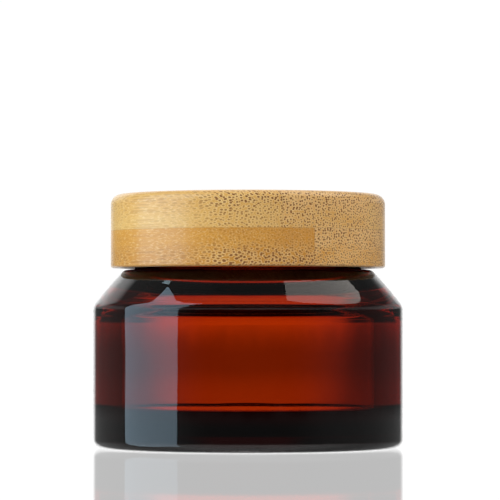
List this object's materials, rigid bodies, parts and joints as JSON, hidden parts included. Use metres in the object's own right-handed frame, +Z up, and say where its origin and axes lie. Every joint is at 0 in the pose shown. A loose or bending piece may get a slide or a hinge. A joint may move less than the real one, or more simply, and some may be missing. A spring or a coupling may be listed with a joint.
{
  "type": "cosmetic cream jar",
  "caption": "Round amber glass cream jar with a sloping shoulder and a laminated bamboo screw lid that unscrews from its threaded neck.",
  "frame": {"origin": "centre of the jar's foot, on the surface it stands on", "axes": "+Z up along the jar's and the screw thread's axis; -Y is the side the picture shows"},
  "size_m": [0.06, 0.06, 0.049],
  "materials": {
    "amber_glass": "clear red-brown amber glass, fire-polished and glossy",
    "bamboo": "sanded laminated bamboo under a thin satin varnish",
    "cap_plastic": "moulded black polypropylene, satin",
    "disc_plastic": "moulded natural polypropylene, satin",
    "liner_foam": "closed-cell polyethylene foam with a smooth skin"
  },
  "bodies": {
    "jar": {"glass_jar": "amber_glass"},
    "disc": {"sealing_disc": "disc_plastic"},
    "liner": {"foam_liner": "liner_foam"},
    "lid": {"inner_cap": "cap_plastic", "upper_strip_left": "bamboo", "upper_strip_middle": "bamboo", "upper_strip_right": "bamboo", "lower_strip_left": "bamboo", "lower_strip_front": "bamboo", "lower_strip_back": "bamboo", "lower_strip_right": "bamboo"}
  },
  "joints": [
    {"name": "lid_rise", "type": "slide", "parent": "jar", "child": "liner", "axis": [0, 0, 1], "range_m": [0, 0.0111]},
    {"name": "lid_turn", "type": "hinge", "parent": "liner", "child": "lid", "pos_m": [0, 0, 0.0434], "axis": [0, 0, 1], "range_deg": [0, 990]},
    {"name": "disc_lift", "type": "slide", "parent": "jar", "child": "disc", "axis": [0, 0, 1], "range_m": [0, 0.005]}
  ],
  "couplings": [
    {"joint": "lid_rise", "follows": "lid_turn", "m_per_rad": 0.00063662},
    {"joint": "disc_lift", "follows": "lid_turn", "m_per_rad": 0.00028648}
  ]
}
